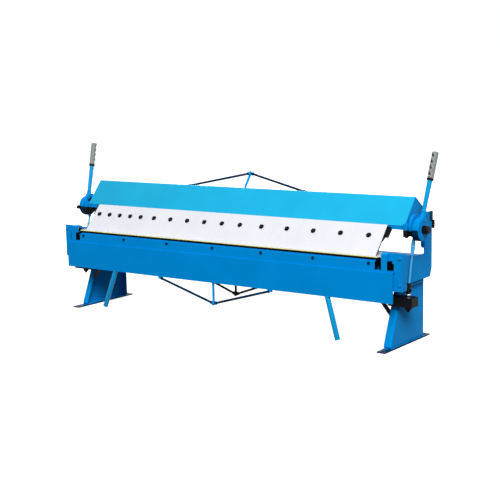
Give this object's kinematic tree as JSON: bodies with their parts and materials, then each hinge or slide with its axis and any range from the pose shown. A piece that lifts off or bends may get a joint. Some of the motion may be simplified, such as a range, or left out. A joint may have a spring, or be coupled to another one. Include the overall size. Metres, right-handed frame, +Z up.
{
  "type": "box and pan brake",
  "caption": "Floor-standing box and pan brake: a clamping beam with separate fingers holds sheet metal on the bed, and a hinged apron bends it; a clamp lever at each end.",
  "frame": {"origin": "middle of the four foot bolts, on the floor", "axes": "+X along the bend line to the end with the wide fingers, +Y to the rear, +Z up"},
  "size_m": [2.94, 0.6078, 1.1998],
  "materials": {
    "blue_paint": "gloss",
    "black_steel": "satin",
    "ground_steel": "ground",
    "zinc_steel": "zinc plated",
    "bronze": "turned",
    "grey_grip": "matte"
  },
  "bodies": {
    "frame": {"adjusting_screws": "black_steel", "beam_pivot_pins": "ground_steel", "bed_blade": "ground_steel", "bed_bottom_plate": "blue_paint", "bed_front_plate": "blue_paint", "bed_nose_bar": "black_steel", "bed_rear_plate": "blue_paint", "bed_tie_rods": "black_steel", "bed_top_plate": "blue_paint", "foot_plate_left": "blue_paint", "foot_plate_right": "blue_paint", "hinge_block_bolts": "black_steel", "hinge_block_left": "blue_paint", "hinge_block_right": "blue_paint", "hinge_pins": "ground_steel", "leg_braces": "black_steel", "leg_left": "blue_paint", "leg_right": "blue_paint", "link_anchor_left": "black_steel", "link_anchor_right": "black_steel", "link_eye_bolts": "black_steel", "link_fasteners": "zinc_steel", "side_plate_left": "blue_paint", "side_plate_right": "blue_paint"},
    "clamp_beam": {"beam_base_plate": "blue_paint", "beam_end_plate_left": "blue_paint", "beam_end_plate_right": "blue_paint", "beam_roof": "blue_paint", "beam_tie_rods": "blue_paint", "finger_bolts": "black_steel", "finger_seat_bar": "black_steel", "fingers_medium": "ground_steel", "fingers_narrow": "ground_steel", "fingers_wide": "ground_steel", "shaft_bearing_left": "black_steel", "shaft_bearing_right": "black_steel"},
    "apron": {"apron_blade": "ground_steel", "apron_bolts": "black_steel", "apron_ear_left": "blue_paint", "apron_ear_right": "blue_paint", "apron_edge_band": "blue_paint", "apron_handle_left": "blue_paint", "apron_handle_right": "blue_paint", "apron_nose_bar": "black_steel", "apron_plate": "blue_paint", "apron_stiffener": "blue_paint", "apron_tie_rods": "blue_paint", "hinge_bushes": "bronze"},
    "lever_right": {"eccentric_shaft_right": "black_steel", "lever_grip_right": "grey_grip", "lever_hub_right": "blue_paint", "lever_tube_right": "blue_paint"},
    "lever_left": {"eccentric_shaft_left": "black_steel", "lever_grip_left": "grey_grip", "lever_hub_left": "blue_paint", "lever_tube_left": "blue_paint"},
    "link_right": {"link_rod_right": "zinc_steel", "link_strap_right": "blue_paint"},
    "link_left": {"link_rod_left": "zinc_steel", "link_strap_left": "blue_paint"}
  },
  "joints": [
    {"name": "beam_tilt", "type": "hinge", "parent": "frame", "child": "clamp_beam", "pos_m": [0, 0.22, 0.608], "axis": [-1, 0, 0], "range_deg": [0, 5]},
    {"name": "apron_swing", "type": "hinge", "parent": "frame", "child": "apron", "pos_m": [0, -0.2275, 0.582], "axis": [-1, 0, 0], "range_deg": [0, 120]},
    {"name": "lever_swing_right", "type": "hinge", "parent": "clamp_beam", "child": "lever_right", "pos_m": [1.408, -0.013, 0.73], "axis": [1, 0, 0], "range_deg": [0, 110]},
    {"name": "link_tilt_right", "type": "hinge", "parent": "frame", "child": "link_right", "pos_m": [1.373, -0.095, 0.362], "axis": [1, 0, 0], "range_deg": [0, 1.45]},
    {"name": "lever_swing_left", "type": "hinge", "parent": "clamp_beam", "child": "lever_left", "pos_m": [-1.408, -0.013, 0.73], "axis": [1, 0, 0], "range_deg": [0, 110]},
    {"name": "link_tilt_left", "type": "hinge", "parent": "frame", "child": "link_left", "pos_m": [-1.373, -0.095, 0.362], "axis": [1, 0, 0], "range_deg": [0, 1.45]}
  ],
  "couplings": [
    {"joint": "lever_swing_right", "follows": "beam_tilt", "ratio": 22},
    {"joint": "link_tilt_right", "follows": "beam_tilt", "ratio": 0.2892},
    {"joint": "lever_swing_left", "follows": "beam_tilt", "ratio": 22},
    {"joint": "link_tilt_left", "follows": "beam_tilt", "ratio": 0.2892}
  ]
}
